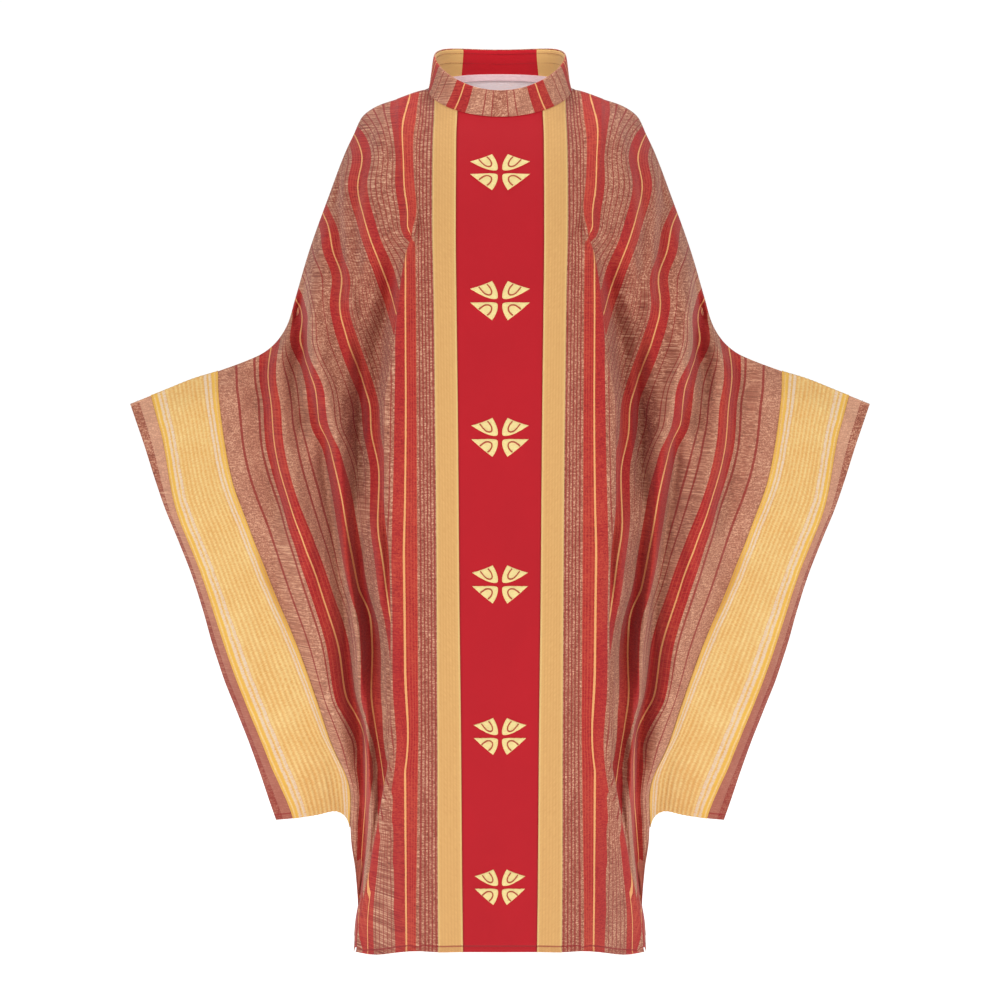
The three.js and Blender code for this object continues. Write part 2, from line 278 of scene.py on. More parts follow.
def placeOnCloth(out, height, foldX, foldPlace, foldWidth):
    # which part of the flat cloth lies at a place of the sleeve cloth, from where the stripes hang
    knotsX, knotsU = [foldX - foldWidth], [foldPlace + foldWidth]
    names = list(hang)
    lines = {name: downLine(hang[name], height) for name in names}
    for name, following in zip(names[:-1], names[1:]):
        middle, half = redStripes[name]
        room = np.minimum(drape["stripeShown"], 0.42 * np.abs(lines[following] - lines[name]))
        for step in (-1, 0, 1):
            knotsX.append(lines[name] + step * room)
            knotsU.append(np.full_like(out, middle + step * half))
    knotsX.append(lines["band"])
    knotsU.append(np.full_like(out, cut["bandInner"]))
    knotsX, knotsU = np.stack(knotsX), np.stack(knotsU)
    # no line crosses the one before it
    for k in range(1, len(knotsX)):
        knotsX[k] = np.maximum(knotsX[k], knotsX[k - 1] + 0.5)
        knotsU[k] = np.maximum(knotsU[k], knotsU[k - 1] + 0.3)
    place = knotsU[0] + (out - knotsX[0])
    for k in range(1, len(knotsX)):
        part = (out - knotsX[k - 1]) / (knotsX[k] - knotsX[k - 1])
        here = knotsU[k - 1] + part * (knotsU[k] - knotsU[k - 1])
        place = np.where(out > knotsX[k - 1], here, place)
    return np.minimum(place, cut["bandInner"])


def toBack(points):
    # a line of the front, hung at the back between the same two seam ends
    points = [list(point) for point in points]
    first, last = points[0][1], points[-1][1]
    for k, point in enumerate(points):
        seam = first + (last - first) * k / (len(points) - 1)
        point[1] = seam + drape["backDepth"] * (seam - point[1])
    return points


def hangPanel(face):
    # one quarter of the garment as a grid: rows x columns x (out, depth, height, place across)
    back = face == "back"
    side = 1 if back else -1
    depth = drape["backDepth"] if back else 1
    parts = drape["rowParts"]
    shape = backColumns if back else frontColumns
    columns = []
    for name, line in shape.items():
        place = np.full((len(parts), 1), float(cut.get(name, 0)))
        columns.append(np.concatenate([lineThrough(line, parts), place], axis=1))
    # at the neck the last column runs nearer to the border
    columns[-1][:, 3] -= 8 * (1 - easeIn(parts, 0, 0.06))
    edge = lineThrough(foldEdge, parts)
    if back:
        edge[:, 1] *= -depth
    x, y, z, u = edge.T
    width, gap = byHeight(foldBack, z), byHeight(foldGap, z)
    if back:
        width, gap = 0.8 * width, 0.7 * gap
    opened = easeIn(width, 0, 22)

    def laid(out, height):
        foldX, foldPlace = smoothAt(-z, x, -height), smoothAt(-z, u, -height)
        return placeOnCloth(out, height, foldX, foldPlace, byHeight(foldBack, height))

    # (out from the folded edge, deeper, share of the gap, place on the cloth) on the way round the fold
    turns = [(-7, 0, 0, u - 7), (0, 4, 0.05, u + 1), (-8, 9, 0.12, u + 11), (-width, 0, 0.5, u + width),
             (-8, -6, 0.94, None), (2, 0, 1, None)]
    pleat = []
    for k, (aside, deeper, share, place) in enumerate(turns):
        open_ = x - 7 + 3.2 * k
        if place is None:
            place = laid(x + aside, z)
        flatPlace = np.where(open_ > x, laid(open_, z), u - (x - open_))
        newX = open_ + (x + aside - open_) * opened
        newY = y - side * (gap * share + deeper * opened)
        # at the shoulder the line falls away from the neck
        newZ = z - drape["shoulderFall"] * k * (1 - easeIn(parts, 0, 0.05))
        pleat.append(np.stack([newX, newY, newZ, flatPlace + (place - flatPlace) * opened], axis=1))
    counts = [10, 7, 6, 7, 3, 4, 8, 8, 4]
    centre = acrossColumns(np.stack(columns + pleat, axis=1), counts)
    # the first stripe opens
    inner, outer = sum(counts[:3]), sum(counts[:4])
    stripe = drape["firstStripe"]
    for row in range(len(parts)):
        span = centre[row, inner:outer + 1]
        first, last = span[0], span[-1]
        spots = [first[0], min(stripe["outerEdge"], last[0] - 4), last[0]]
        places = [first[3], min(stripe["place"], last[3] - 3), last[3]]
        opening = easeIn(-span[:, 2], stripe["from"], stripe["to"])
        span[:, 3] += (np.interp(span[:, 0], spots, places) - span[:, 3]) * opening
    # the sleeve cloth beyond the fold, as far as the band, then the band and the sleeve end
    left = pleat[-1][:, :3]
    bandLine = lineThrough(toBack(bandEdge) if back else bandEdge, parts)
    mouthLine = lineThrough(toBack(sleeveMouth) if back else sleeveMouth, parts)
    below = [list(point) for point in sideLine]
    if back:
        below[0][1] *= -depth
    above = [list(point) for point in armLine]
    above[0] = list(left[0])
    acrossSide = np.linspace(0, 1, drape["columnsOfSide"])
    sideCloth = patchBetween(left, bandLine, above, below, acrossSide, parts)
    place = laid(sideCloth[..., 0], sideCloth[..., 2])
    for _ in range(drape["evenBack"] if back else drape["evenFront"]):
        place[1:-1, 1:-1] = amongNeighbours(place)
    fading = easeIn(acrossSide, 0, 0.06)[None] * easeIn(parts, 0.0, 0.05)[:, None]
    sideCloth[..., 1] += side * depth * foldRelief(sideCloth[..., 0], sideCloth[..., 2]) * fading
    sideCloth = np.concatenate([sideCloth, place[..., None]], axis=2)
    sleeveParts = np.concatenate([np.linspace(0, 128 / 140, 28), np.linspace(130, 140, 7) / 140])
    sleeve = patchBetween(bandLine, mouthLine, armEnd, underSleeve, sleeveParts, parts)
    # lower down the sleeve end turns away, so the band comes out nearly to the edge
    turned = easeIn(parts, 0.08, 0.3)[:, None] * (1 - 0.6 * easeIn(parts, 0.85, 1.0)[:, None])
    bandShare = (cut["bandOuter"] - cut["bandInner"]) / (cut["sleeveEnd"] - cut["bandInner"])
    bulge = np.minimum(sleeveParts / bandShare, (1 - sleeveParts) / (1 - bandShare))[None] * turned
    sleeve += (mouthLine - bandLine)[:, None] * (drape["bandOut"] * bulge)[..., None]
    sleeve[..., 1] += side * drape["bandForward"] * bulge
    sleevePlace = cut["bandInner"] + (cut["sleeveEnd"] - cut["bandInner"]) * sleeveParts
    sleeve = np.concatenate([sleeve, np.repeat(sleevePlace[None], len(parts), axis=0)[..., None]], axis=2)
    return np.concatenate([centre, sideCloth[:, 1:], sleeve[:, 1:]], axis=1)


def amongNeighbours(values):
    # the mean of the four neighbours of every inner point of a grid
    return (values[:-2, 1:-1] + values[2:, 1:-1] + values[1:-1, :-2] + values[1:-1, 2:]) / 4


def settle(grid, rounds):
    # evens out the hanging cloth so that folds run softly; the outline keeps its place
    for _ in range(rounds):
        near = amongNeighbours(grid[..., :3])
        grid[1:-1, 1:-1, :3] += 0.5 * (near - grid[1:-1, 1:-1, :3])
    return grid


def facing(grid, face):
    # 1 where rows down and columns across already turn the face outwards, -1 where they turn it inwards
    mirrored = grid[0, -1, 0] < grid[0, 0, 0]
    return (1 if face == "front" else -1) * (-1 if mirrored else 1)


def outwards(grid, sign):
    # unit normals that point away from the wearer
    down, across = np.gradient(grid[..., :3], axis=0), np.gradient(grid[..., :3], axis=1)
    normal = np.cross(down, across)
    return sign * normal / (np.linalg.norm(normal, axis=2, keepdims=True) + 1e-9)


def raised(grid, height, sign):
    # the same cloth moved along its normals; plus is outwards
    moved = grid.copy()
    moved[..., :3] += outwards(grid, sign) * np.asarray(height)[..., None]
    return moved


def finishPanel(face, seed):
    # the hung panel with its uneven surface and the measured length down each column
    grid = settle(hangPanel(face), 5)
    down = np.linalg.norm(np.diff(grid[..., :3], axis=0), axis=2)
    v = np.concatenate([np.zeros((1, grid.shape[1])), np.cumsum(down, axis=0)], axis=0)
    u = grid[..., 3]
    left = v[-1:] - v
    ends = easeIn(v, 0, 60) * easeIn(left, 0, 30)
    wave = (0.6 * ripple(u, v, 24, 130, seed) + 0.35 * ripple(u, v, 11, 60, seed + 1)
            + 0.3 * ripple(u, v, 40, 34, seed + 2))
    normal = outwards(grid, facing(grid, face))
    height = drape["rippleHeight"] * wave * ends * (0.2 + 0.8 * easeIn(u, 110, 200))
    # the stitched hems draw in a little along their seams
    height -= drape["stitchPull"] * np.exp(-((left - 9) / 1.6) ** 2) * (u < 440)
    height -= drape["stitchPull"] * np.exp(-((cut["sleeveEnd"] - cut["hemTurn"] - u) / 1.6) ** 2)
    grid[..., :3] += normal * height[..., None]
    # the neck edge lies exactly along the collar seam
    top = grid[0, :, :3]
    forward = (neckSeam["middle"] - top[:, 1]) / neckSeam["halfDepth"]
    turn = np.arctan2(top[:, 0] / neckSeam["halfWidth"], forward)
    if face == "back":
        turn = np.where(turn < 0, turn + 2 * math.pi, turn)
    onSeam = ringPoint(neckSeam, turn)
    nearNeck = (1 - easeIn(u[0], 100, 122))[:, None]
    grid[..., :3] += ((onSeam - top) * nearNeck)[None] * (1 - easeIn(v, 0, 45))[..., None]
    return np.concatenate([grid, v[..., None]], axis=2)


# pieces as meshes
def widthsOf(grid, places):
    # the columns of the grid at these places on the cloth, row by row
    picked = np.empty((grid.shape[0], len(places), grid.shape[2]))
    for row in range(grid.shape[0]):
        keys = np.maximum.accumulate(grid[row, :, 3] + np.arange(grid.shape[1]) * 1e-7)
        for k in range(grid.shape[2]):
            picked[row, :, k] = np.interp(places, keys, grid[row, :, k])
    return picked


def lengthsOf(grid, fromEnd):
    # the rows of the grid at these distances up from the lower edge
    picked = np.empty((len(fromEnd), grid.shape[1], grid.shape[2]))
    for column in range(grid.shape[1]):
        keys = grid[-1, column, 4] - grid[:, column, 4]
        for k in range(grid.shape[2]):
            picked[:, column, k] = np.interp(fromEnd, keys[::-1], grid[::-1, column, k])
    return picked


def addLayer(mesh, name, values, corners):
    # a map of the cloth, from millimetres to metres
    layer = mesh.uv_layers.new(name=name)
    layer.data.foreach_set("uv", (values.reshape(-1, 2)[corners] * mm).ravel())


def newObject(name, mesh):
    made = bpy.data.objects.new(name, mesh)
    bpy.context.scene.collection.objects.link(made)
    return made


def clothPiece(name, grid, materials, thickness, sign, hemmed=False):
    # grid: rows x columns x (x, y, z, across, down) in millimetres.
    # The grid is the outer face, and the thickness goes inwards.
    rows, count = grid.shape[:2]
    index = np.arange(rows * count).reshape(rows, count)
    quads = np.stack([index[:-1, :-1], index[1:, :-1], index[1:, 1:], index[:-1, 1:]], axis=-1)
    quads = quads.reshape(-1, 4)
    if sign < 0:
        quads = quads[:, ::-1]
    mesh = bpy.data.meshes.new(name)
    mesh.from_pydata((grid[..., :3].reshape(-1, 3) * mm).tolist(), [], quads.tolist())
    addLayer(mesh, "cloth", grid[..., 3:5], quads.ravel())
    # a second map measures along the yarns as they lie, so their grain keeps its size in drawn-in cloth
    steps = np.linalg.norm(np.diff(grid[..., :3], axis=1), axis=2)
    along = np.concatenate([np.zeros((rows, 1)), np.cumsum(steps, axis=1)], axis=1)
    addLayer(mesh, "thread", np.stack([along, grid[..., 4]], axis=-1), quads.ravel())
    # a third map measures up from the hem
    up = grid[-1:, :, 4] - grid[..., 4] + (0 if hemmed else 1000)
    addLayer(mesh, "hem", np.stack([up, up], axis=-1), quads.ravel())
    mesh.polygons.foreach_set("use_smooth", [True] * len(mesh.polygons))
    mesh.update()
    piece = newObject(name + "_cloth", mesh)
    for material in materials:
        mesh.materials.append(material)
    solid = piece.modifiers.new("clothThickness", "SOLIDIFY")
    solid.thickness = thickness * mm
    solid.offset = -1
    if len(materials) > 1:
        solid.material_offset = 1
    return piece


# materials
def linear(red, green, blue):
    # a screen colour from 0 to 255 as linear light
    parts = [part / 255 for part in (red, green, blue)]
    return tuple(part / 12.92 if part <= 0.04 else ((part + 0.055) / 1.055) ** 2.4 for part in parts) + (1,)


yarns = {
    "red": (194, 18, 34), "redDeep": (150, 12, 26), "gold": (228, 181, 114),
    "goldLine": (208, 153, 92), "goldEdge": (238, 205, 136), "dark": (112, 58, 48),
    "middle": (172, 104, 82), "light": (232, 182, 150), "stripeRed": (178, 42, 42),
    "stripeDark": (138, 26, 32), "stripeOrange": (207, 94, 68), "wine": (148, 40, 42),
    "cord": (238, 174, 112), "bandGold": (238, 186, 78), "bandPale": (246, 216, 148),
    "bandDeep": (226, 168, 92), "white": (232, 212, 196), "lining": (250, 240, 246),
    "tape": (240, 206, 212), "canvas": (228, 222, 208), "silk": (248, 230, 158),
    "silkLine": (186, 78, 52),
}


def addNode(tree, kind, inputs=None, **settings):
    made = tree.nodes.new(kind)
    for name, value in settings.items():
        setattr(made, name, value)
    for name, value in (inputs or {}).items():
        if isinstance(value, bpy.types.NodeSocket):
            tree.links.new(value, made.inputs[name])
        else:
            made.inputs[name].default_value = value
    return made


def calc(tree, operation, a, b=0.0, c=0.0):
    return addNode(tree, "ShaderNodeMath", {0: a, 1: b, 2: c}, operation=operation).outputs[0]


def added(tree, *terms):
    total = terms[0]
    for term in terms[1:]:
        total = calc(tree, "ADD", total, term)
    return total


def scaled(tree, value, factor):
    return calc(tree, "MULTIPLY", value, factor)


def tinted(tree, amount, base, over):
    # base mixed with over; each is the name of a yarn or a colour made before
    base, over = (linear(*yarns[one]) if isinstance(one, str) else one for one in (base, over))
    return addNode(tree, "ShaderNodeMix", {0: amount, 6: base, 7: over}, data_type="RGBA").outputs[2]


def grain(tree, across, down, sizeAcross, sizeDown, detail=2.0, seed=0.0):
    # unevenness whose spots are sizeAcross by sizeDown millimetres
    spot = addNode(tree, "ShaderNodeCombineXYZ", {0: calc(tree, "DIVIDE", across, sizeAcross),
                                                  1: calc(tree, "DIVIDE", down, sizeDown), 2: seed})
    return addNode(tree, "ShaderNodeTexNoise", {"Vector": spot.outputs[0], "Scale": 1.0, "Detail": detail,
                                                "Roughness": 0.55}).outputs[0]


def stretched(tree, value, low, high):
    return addNode(tree, "ShaderNodeMapRange", {"Value": value, "From Min": low, "From Max": high}).outputs[0]


def within(tree, value, start, end):
    return calc(tree, "COMPARE", value, (start + end) / 2, (end - start) / 2)


def repeatedLines(tree, across, start, end, pitch, width):
    # thin lines pitch apart between start and end
    phase = calc(tree, "MODULO", calc(tree, "SUBTRACT", across, start), pitch)
    return scaled(tree, within(tree, across, start, end), calc(tree, "COMPARE", phase, pitch / 2, width / 2))


def stripeLines(tree, across, lineHalf=None):
    # 1 on every red stripe, or only within lineHalf of the middle of each
    shown = None
    for middle, half in redStripes.values():
        here = calc(tree, "COMPARE", across, middle, lineHalf or half)
        shown = here if shown is None else calc(tree, "MAXIMUM", shown, here)
    return shown


def mapped(tree, layer):
    # where a point is on a map of the cloth, in millimetres
    source = addNode(tree, "ShaderNodeUVMap", uv_map=layer)
    place = addNode(tree, "ShaderNodeSeparateXYZ", {0: source.outputs[0]})
    return scaled(tree, place.outputs[0], 1000.0), scaled(tree, place.outputs[1], 1000.0)


def newCloth(name, sheen, roughness):
    material = bpy.data.materials.new(name)
    material.use_nodes = True
    tree = material.node_tree
    tree.nodes.clear()
    shader = addNode(tree, "ShaderNodeBsdfPrincipled", {"Sheen Weight": sheen, "Sheen Roughness": 0.5,
                                                        "Specular IOR Level": 0.25})
    output = addNode(tree, "ShaderNodeOutputMaterial")
    tree.links.new(shader.outputs[0], output.inputs[0])
    shader.inputs["Roughness"].default_value = roughness
    return material, tree, shader


def plainWeave(tree, across, down, pitch):
    # threads going over and under each other
    warp = calc(tree, "SINE", scaled(tree, across, 2 * math.pi / pitch))
    weft = calc(tree, "SINE", scaled(tree, down, 2 * math.pi / pitch))
    return scaled(tree, warp, weft)


def finishCloth(tree, shader, colour, height, strength, rough, roughAround):
    tree.links.new(colour, shader.inputs["Base Color"])
    bump = addNode(tree, "ShaderNodeBump", {"Height": height, "Strength": strength, "Distance": 0.0006})
    tree.links.new(bump.outputs[0], shader.inputs["Normal"])
    spread = addNode(tree, "ShaderNodeMapRange", {"Value": rough, "To Min": roughAround - 0.08,
                                                  "To Max": min(roughAround + 0.08, 1.0)})
    tree.links.new(spread.outputs[0], shader.inputs["Roughness"])


# how the painted shadow line at the hem and the darker strip below it are drawn
hemShadowLook = {"lineAt": 9.5, "lineHalf": 1.3, "lineDepth": 0.7, "stripBelow": 8.5, "stripDarkening": 0.16}


def hemPaintedShadow(tree, colour):
    # the turned hem gets a painted shadow line along its stitches and a slightly darker strip below it
    up = mapped(tree, "hem")[0]
    line = calc(tree, "COMPARE", up, hemShadowLook["lineAt"], hemShadowLook["lineHalf"])
    strip = calc(tree, "LESS_THAN", up, hemShadowLook["stripBelow"])
    shade = added(tree, scaled(tree, line, hemShadowLook["lineDepth"]), scaled(tree, strip, hemShadowLook["stripDarkening"]))
    return tinted(tree, shade, colour, "wine")


# thin woven lines: (start, end, distance apart, width, yarn)
thinLines = [
    (99, 130, 6.2, 2.4, "wine"), (130.5, 147, 4.1, 1.8, "stripeOrange"),
    (167, 217, 10, 1.9, "wine"), (238, 253, 4.6, 1.6, "stripeOrange"),
    (255, 342, 10.9, 1.8, "wine"), (343, 359, 4.6, 1.6, "stripeOrange"),
    (398, 404, 6, 2.0, "wine"), (434.5, 460.5, 13, 2.0, "wine"), (531, 561, 15, 2.0, "wine"),
    (605.5, 654.5, 24, 2.0, "wine"), (576, 610, 6.5, 1.6, "stripeOrange"),
]
stripedLook = {
    "lineStrength": {"wine": 0.8, "stripeOrange": 0.3},
    "looseFrom": 380,      # beyond this place lineWidth widens the wine lines
    "cordHalf": 1.25, "cordStrength": 0.92, "paleFrom": 440, "pale": 0.16, "endPale": 0.5,
    # the last value is the strength of the painted shade on the turned sleeve end
    "insidePale": 0.35, "worn": 0.36, "faded": 0.34, "turnedEndShade": 0.6,
}


def stripedCloth(name, inside=False, lineWidth=1.6):
    look = stripedLook
    material, tree, shader = newCloth(name, 0.12, 0.9)
    place = mapped(tree, "cloth")[0]
    across, down = mapped(tree, "thread")
    spot = addNode(tree, "ShaderNodeSeparateXYZ", {0: addNode(tree, "ShaderNodeTexCoord").outputs["Object"]})
    sideways = scaled(tree, added(tree, spot.outputs[0], spot.outputs[1]), 1000.0)
    upwards = scaled(tree, spot.outputs[2], 1000.0)
    # the lines of the weave are a little uneven
    waver = calc(tree, "SUBTRACT", grain(tree, across, down, 3.0, 2.2, 1.0, 4.0), 0.5)
    shaky = added(tree, place, scaled(tree, waver, 0.9))
    slub = grain(tree, sideways, upwards, 9.0, 2.6, 2.0, 1.0)      # thick and thin crosswise yarn
    warp = grain(tree, across, down, 1.8, 9.0, 2.0, 2.0)
    pepper = grain(tree, sideways, upwards, 2.2, 1.9, 2.0, 3.0)
    patchy = grain(tree, across, down, 30.0, 45.0, 3.0, 5.0)
    worn = stretched(tree, grain(tree, across, down, 60.0, 170.0, 2.0, 8.0), 0.42, 0.62)
    mixed = added(tree, scaled(tree, slub, 0.3), scaled(tree, warp, 0.14),
                  added(tree, scaled(tree, pepper, 0.42), scaled(tree, patchy, 0.14)))
    tone = stretched(tree, mixed, 0.36, 0.63)
    melange = tinted(tree, stretched(tree, tone, 0.0, 0.5), "dark", "middle")
    melange = tinted(tree, stretched(tree, tone, 0.5, 1.0), melange, "light")
    outer = within(tree, shaky, look["paleFrom"], cut["bandInner"])
    melange = tinted(tree, scaled(tree, outer, look["pale"]), melange, "light")
    stripe = tinted(tree, stretched(tree, tone, 0.0, 0.55), "stripeDark", "stripeRed")
    faded = added(tree, scaled(tree, stretched(tree, tone, 0.5, 1.0), look["faded"]),
                  scaled(tree, scaled(tree, worn, tone), look["worn"]))
    stripe = tinted(tree, calc(tree, "MINIMUM", faded, 1.0), stripe, "stripeOrange")
    colour = tinted(tree, stripeLines(tree, shaky), melange, stripe)
    for start, end, pitch, width, yarn in thinLines:
        if yarn == "wine" and start > look["looseFrom"]:
            width *= lineWidth
        line = repeatedLines(tree, shaky, start, end, pitch, width)
        colour = tinted(tree, scaled(tree, line, look["lineStrength"][yarn]), colour, yarn)
    cord = stripeLines(tree, shaky, look["cordHalf"])
    colour = tinted(tree, scaled(tree, cord, look["cordStrength"]), colour, "cord")
    trimEdge = cut["orphreyEdge"] + 1
    colour = tinted(tree, within(tree, shaky, -trimEdge, trimEdge), colour, "red")
    colour = tinted(tree, within(tree, shaky, trimEdge, cut["borderEdge"]), colour, "gold")
    # the end of the sleeve is paler up to the hem
    sleeveTip = within(tree, shaky, cut["bandOuter"], cut["sleeveEnd"] - cut["hemTurn"])
    colour = tinted(tree, scaled(tree, sleeveTip, look["endPale"]), colour, "light")
    if inside:
        colour = tinted(tree, look["insidePale"], colour, "light")
    # lower down it turns away, and the shade it lies in there is painted into its colour, more of it further
    # down
    low = stretched(tree, scaled(tree, upwards, -1.0), 500.0, 900.0)
    turnedEndShade = scaled(tree, within(tree, shaky, cut["bandOuter"], cut["sleeveEnd"] + 3), low)
    # painted shadow line and darker strip at the hem
    colour = hemPaintedShadow(tree, tinted(tree, scaled(tree, turnedEndShade, look["turnedEndShade"]), colour, "wine"))
    weave = plainWeave(tree, across, down, 1.15)
    height = added(tree, scaled(tree, slub, 0.8), scaled(tree, weave, 0.2), scaled(tree, warp, 0.4),
                   scaled(tree, pepper, 0.9), scaled(tree, cord, 0.5))
    finishCloth(tree, shader, colour, height, 0.36, pepper, 0.9)
    return material


def goldCloth(name):
    material, tree, shader = newCloth(name, 0.12, 0.8)
    across, down = mapped(tree, "cloth")
    slub = grain(tree, across, down, 7.0, 1.6, 2.0, 1.0)
    warp = grain(tree, across, down, 1.1, 30.0, 2.0, 2.0)
    colour = tinted(tree, stretched(tree, slub, 0.3, 0.75), "goldLine", "gold")
    colour = tinted(tree, 0.3, colour, "gold")
    lines = repeatedLines(tree, across, 70.0, 95.0, 4.2, 1.6)
    colour = tinted(tree, scaled(tree, scaled(tree, lines, warp), 0.75), colour, "goldLine")
    edges = calc(tree, "MAXIMUM", within(tree, across, 60.0, 67.6), within(tree, across, 96.6, 102.0))
    colour = tinted(tree, scaled(tree, edges, 0.7), colour, "goldEdge")
    # painted shadow line and darker strip at the hem
    colour = hemPaintedShadow(tree, colour)
    weave = plainWeave(tree, across, down, 1.0)
    height = added(tree, scaled(tree, slub, 0.9), scaled(tree, weave, 0.25), warp)
    finishCloth(tree, shader, colour, height, 0.4, slub, 0.78)
    return material


def redCloth(name):
    material, tree, shader = newCloth(name, 0.03, 0.75)
    across, down = mapped(tree, "cloth")
    rib = calc(tree, "SINE", scaled(tree, down, 2 * math.pi / 0.9))
    fine = grain(tree, across, down, 5.0, 0.9, 2.0, 1.0)
    patchy = grain(tree, across, down, 70.0, 90.0, 2.0, 2.0)
    tone = added(tree, scaled(tree, fine, 0.22), scaled(tree, patchy, 0.3))
    colour = tinted(tree, stretched(tree, tone, 0.2, 0.6), "redDeep", "red")
    colour = tinted(tree, 0.7, colour, "red")
    edges = calc(tree, "GREATER_THAN", calc(tree, "ABSOLUTE", across), 62.0)
    colour = tinted(tree, scaled(tree, edges, 0.35), colour, "redDeep")
    # painted shadow line and darker strip at the hem
    colour = hemPaintedShadow(tree, colour)
    height = added(tree, scaled(tree, rib, 0.2), fine)
    finishCloth(tree, shader, colour, height, 0.3, fine, 0.72)
    return material


def ribbedBand(name):
    material, tree, shader = newCloth(name, 0.12, 0.75)
    across, down = mapped(tree, "cloth")
    slub = grain(tree, across, down, 6.0, 1.5, 2.0, 1.0)
    warp = grain(tree, across, down, 1.4, 4.0, 2.0, 2.0)
    patchy = grain(tree, across, down, 40.0, 50.0, 2.0, 3.0)
    # the ribs wander a little as the cloth is pulled
    wander = added(tree, scaled(tree, grain(tree, across, down, 30.0, 26.0, 1.0, 6.0), 2.4),
                   scaled(tree, grain(tree, across, down, 2.5, 2.2, 1.0, 7.0), 1.3))
    place = added(tree, calc(tree, "SUBTRACT", across, float(cut["bandInner"]) + 1.85), wander)
    ridge = calc(tree, "COSINE", scaled(tree, place, 2 * math.pi / bandCut["ribPitch"]))
    pale = added(tree, scaled(tree, stretched(tree, ridge, -1.0, 1.0), 0.5),
                 scaled(tree, calc(tree, "SUBTRACT", slub, 0.5), 1.9),
                 scaled(tree, calc(tree, "SUBTRACT", patchy, 0.25), 0.7))
    colour = tinted(tree, stretched(tree, pale, 0.0, 1.0), "bandDeep", "bandPale")
    whiteness = stretched(tree, added(tree, warp, slub), 0.62, 1.3)
    shine = stretched(tree, slub, 0.1, 0.6)
    for lines, strength, yarn in (("whiteLines", whiteness, "white"), ("goldLines", shine, "bandGold")):
        for start, end in bandCut[lines]:
            colour = tinted(tree, scaled(tree, within(tree, place, start, end), strength), colour, yarn)
    weave = plainWeave(tree, across, down, 1.2)
    height = added(tree, scaled(tree, slub, 1.5), scaled(tree, weave, 0.25), warp)
    finishCloth(tree, shader, colour, height, 0.5, slub, 0.8)
    return material


def plainCloth(name, yarn, shade, pitch, sheen, rough):
    # one plain yarn with a little of a second shade
    material, tree, shader = newCloth(name, sheen, rough)
    across, down = mapped(tree, "thread")
    slub = grain(tree, across, down, 8.0, 1.2, 2.0, 1.0)
    patchy = grain(tree, across, down, 60.0, 40.0, 2.0, 2.0)
    tone = added(tree, scaled(tree, slub, 0.6), scaled(tree, patchy, 0.4))
    colour = tinted(tree, scaled(tree, stretched(tree, tone, 0.35, 0.7), 0.35), yarn, shade)
    height = added(tree, slub, scaled(tree, plainWeave(tree, across, down, pitch), 0.3))
    finishCloth(tree, shader, colour, height, 0.35, slub, rough)
    return material


def silkThread(name, yarn, shade):
    # embroidery thread laid side by side along the petal
    material, tree, shader = newCloth(name, 0.1, 0.45)
    across, down = mapped(tree, "cloth")
    thread = calc(tree, "SINE", scaled(tree, across, 2 * math.pi / 0.55))
    uneven = grain(tree, across, down, 0.6, 6.0, 1.0, 1.0)
    colour = tinted(tree, scaled(tree, stretched(tree, uneven, 0.35, 0.7), 0.3), yarn, shade)
    height = added(tree, scaled(tree, thread, 0.5), uneven)
    finishCloth(tree, shader, colour, height, 0.35, uneven, 0.45)
    return material


def sewingThread(name, yarn, shade):
    material, tree, shader = newCloth(name, 0.1, 0.6)
    place = addNode(tree, "ShaderNodeTexCoord").outputs["Object"]
    twist = addNode(tree, "ShaderNodeTexNoise", {"Vector": place, "Scale": 900.0, "Detail": 2.0}).outputs[0]
    colour = tinted(tree, stretched(tree, twist, 0.3, 0.7), yarn, shade)
    finishCloth(tree, shader, colour, twist, 0.3, twist, 0.6)
    return material


bandCut = {
    "ribPitch": 6.8, "ribHeight": 0.45, "lift": 1.1,
    "whiteLines": [(11, 15), (18, 22.5), (84.5, 89), (92, 96)],
    "goldLines": [(0, 3.6), (6, 10), (97, 101), (103.4, 107)],
}


def makeStitchTree(name, material):
    # puts a short rounded stitch at every step along a line
    tree = bpy.data.node_groups.new(name, "GeometryNodeTree")
    tree.interface.new_socket("Geometry", in_out="INPUT", socket_type="NodeSocketGeometry")
    for label in ("Pitch", "Length", "Thickness"):
        tree.interface.new_socket(label, in_out="INPUT", socket_type="NodeSocketFloat")
    tree.interface.new_socket("Seed", in_out="INPUT", socket_type="NodeSocketInt")
    tree.interface.new_socket("Geometry", in_out="OUTPUT", socket_type="NodeSocketGeometry")
    given = addNode(tree, "NodeGroupInput")
    result = addNode(tree, "NodeGroupOutput")
    curve = addNode(tree, "GeometryNodeMeshToCurve", {"Mesh": given.outputs["Geometry"]})
    steps = {"Curve": curve.outputs[0], "Length": given.outputs["Pitch"]}
    points = addNode(tree, "GeometryNodeCurveToPoints", steps, mode="LENGTH")
    bead = addNode(tree, "GeometryNodeMeshUVSphere", {"Segments": 6, "Rings": 4, "Radius": 0.5})
    # sockets 2 and 3 are the least and the most of a number
    span = {2: 0.85, 3: 1.12, "Seed": given.outputs["Seed"]}
    uneven = addNode(tree, "FunctionNodeRandomValue", span, data_type="FLOAT")
    long = scaled(tree, given.outputs["Length"], uneven.outputs[1])
    thick = given.outputs["Thickness"]
    size = addNode(tree, "ShaderNodeCombineXYZ", {0: thick, 1: thick, 2: long})
    placed = addNode(tree, "GeometryNodeInstanceOnPoints", {"Points": points.outputs["Points"],
                                                            "Instance": bead.outputs["Mesh"],
                                                            "Rotation": points.outputs["Rotation"],
                                                            "Scale": size.outputs[0]})
    real = addNode(tree, "GeometryNodeRealizeInstances", {"Geometry": placed.outputs[0]})
    smooth = addNode(tree, "GeometryNodeSetShadeSmooth", {"Geometry": real.outputs[0]})
    dressed = addNode(tree, "GeometryNodeSetMaterial", {"Geometry": smooth.outputs[0], "Material": material})
    tree.links.new(dressed.outputs[0], result.inputs[0])
    return tree


